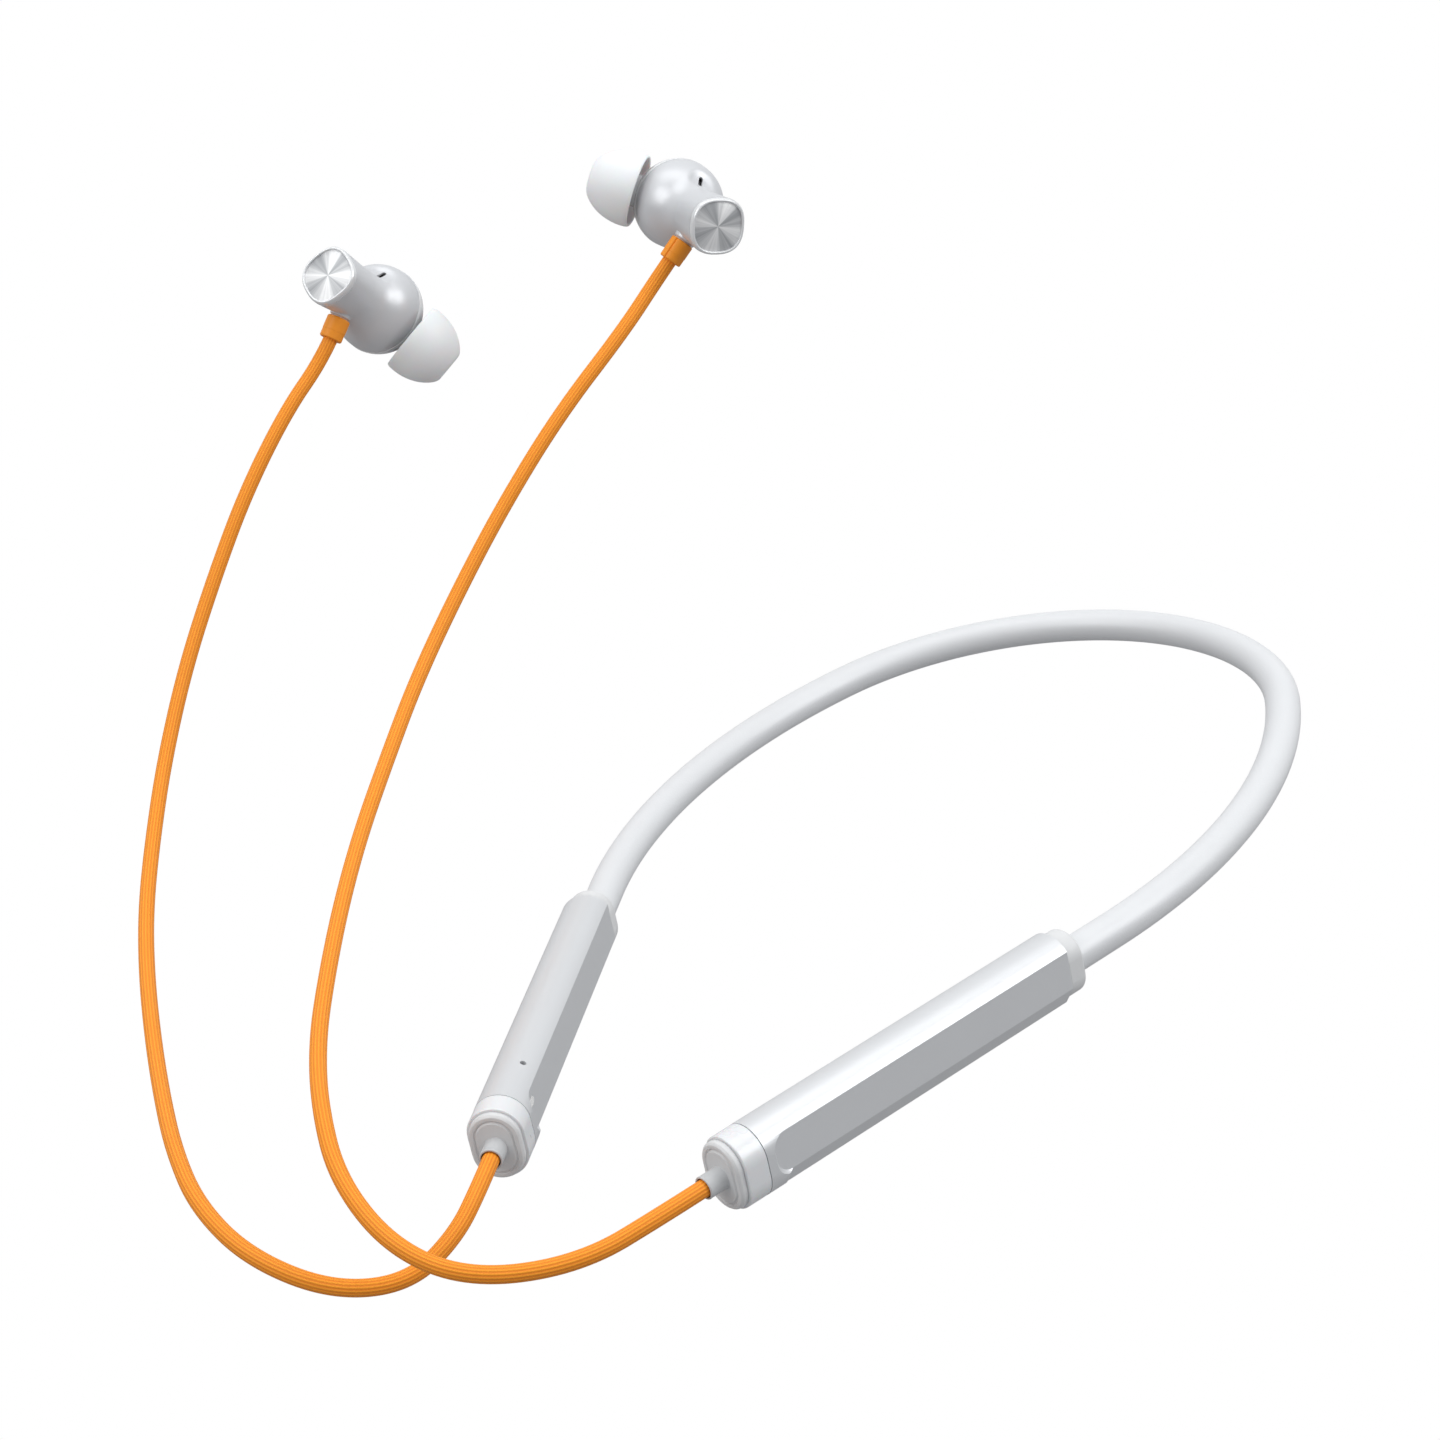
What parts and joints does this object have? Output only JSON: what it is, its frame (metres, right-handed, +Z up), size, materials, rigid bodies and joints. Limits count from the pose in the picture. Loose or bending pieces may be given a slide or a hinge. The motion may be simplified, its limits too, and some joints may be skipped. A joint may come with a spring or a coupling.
{
  "type": "neckband earphones",
  "caption": "Bluetooth neckband with a soft bent band, slim faceted housings and ribbed cords to in-ear earbuds, as held up when worn.",
  "frame": {"origin": "inner side of the band at its rear bend, where it rests on the nape", "axes": "+Z up, +Y towards the wearer's back, +X towards the wearer's left; the band lies on a plane that drops 22 degrees towards the front"},
  "size_m": [0.1608, 0.1814, 0.1506],
  "materials": {
    "sleeve_silicone": "matt silver-white silicone",
    "spring_wire": "bright drawn wire",
    "cable_jacket": "thin jacket",
    "cell_foil": "foil pouch",
    "board_mask": "green solder mask",
    "chip_epoxy": "black moulded epoxy",
    "copper_flex": "copper on film",
    "port_steel": "drawn steel",
    "button_satin": "satin silver-white",
    "fine_mesh": "woven mesh",
    "clear_plastic": "clear, lightly frosted",
    "lamp_resin": "yellowish resin",
    "housing_satin": "satin silver-white with a fine pearl",
    "cap_matte": "fine matt",
    "gland_grey": "matt grey",
    "frame_plastic": "moulded",
    "bud_satin": "satin silver-white",
    "bud_rim": "gloss white",
    "bezel_bright": "polished",
    "spun_metal": "radially spun",
    "magnet_plate": "nickel plated",
    "diaphragm_film": "thin film",
    "tip_silicone": "soft translucent silicone",
    "collar_orange": "moulded orange",
    "cord_orange": "orange with fine lengthwise ribs"
  },
  "bodies": {
    "neckband": {"band_sleeve": "sleeve_silicone", "memory_wire": "spring_wire", "band_cable": "cable_jacket", "battery": "cell_foil", "protection_board": "board_mask", "main_board": "board_mask", "bluetooth_chip": "chip_epoxy", "board_components": "chip_epoxy", "antenna": "copper_flex", "usb_shell": "port_steel", "usb_tongue": "chip_epoxy", "tact_switches": "port_steel", "microphone": "port_steel", "microphone_mesh": "fine_mesh", "light_guide": "clear_plastic", "led": "lamp_resin", "left_shell": "housing_satin", "left_band_cap": "cap_matte", "left_clear_rim": "clear_plastic", "left_cord_cap": "cap_matte", "left_cord_gland": "gland_grey", "left_inner_frame": "frame_plastic", "left_rear_shell": "bud_satin", "left_front_shell": "bud_rim", "left_bezel_ring": "bezel_bright", "left_end_disc": "spun_metal", "left_snap_magnet": "magnet_plate", "left_driver_frame": "chip_epoxy", "left_driver_magnet": "magnet_plate", "left_driver_diaphragm": "diaphragm_film", "left_nozzle_mesh": "fine_mesh", "left_vent_mesh": "fine_mesh", "left_cord_collar": "collar_orange", "left_cord": "cord_orange", "right_shell": "housing_satin", "right_band_cap": "cap_matte", "right_clear_rim": "clear_plastic", "right_cord_cap": "cap_matte", "right_cord_gland": "gland_grey", "right_inner_frame": "frame_plastic", "right_rear_shell": "bud_satin", "right_front_shell": "bud_rim", "right_bezel_ring": "bezel_bright", "right_end_disc": "spun_metal", "right_snap_magnet": "magnet_plate", "right_driver_frame": "chip_epoxy", "right_driver_magnet": "magnet_plate", "right_driver_diaphragm": "diaphragm_film", "right_nozzle_mesh": "fine_mesh", "right_vent_mesh": "fine_mesh", "right_cord_collar": "collar_orange", "right_cord": "cord_orange"},
    "volume_up_button": {"volume_up_button": "button_satin"},
    "call_button": {"call_button": "button_satin"},
    "volume_down_button": {"volume_down_button": "button_satin"},
    "left_ear_tip": {"left_ear_tip": "tip_silicone"},
    "right_ear_tip": {"right_ear_tip": "tip_silicone"}
  },
  "joints": [
    {"name": "volume_up_press", "type": "slide", "parent": "neckband", "child": "volume_up_button", "axis": [0.9426, 0.3095, 0.1251], "range_m": [0, 0.00025], "stiffness_N_per_m": 2000},
    {"name": "call_press", "type": "slide", "parent": "neckband", "child": "call_button", "axis": [0.9426, 0.3095, 0.1251], "range_m": [0, 0.00025], "stiffness_N_per_m": 2000},
    {"name": "volume_down_press", "type": "slide", "parent": "neckband", "child": "volume_down_button", "axis": [0.9426, 0.3095, 0.1251], "range_m": [0, 0.00025], "stiffness_N_per_m": 2000},
    {"name": "left_tip_pull", "type": "slide", "parent": "neckband", "child": "left_ear_tip", "axis": [-0.8636, -0.3983, 0.3091], "range_m": [0, 0.008]},
    {"name": "right_tip_pull", "type": "slide", "parent": "neckband", "child": "right_ear_tip", "axis": [0.6251, 0.4461, -0.6404], "range_m": [0, 0.008]}
  ]
}
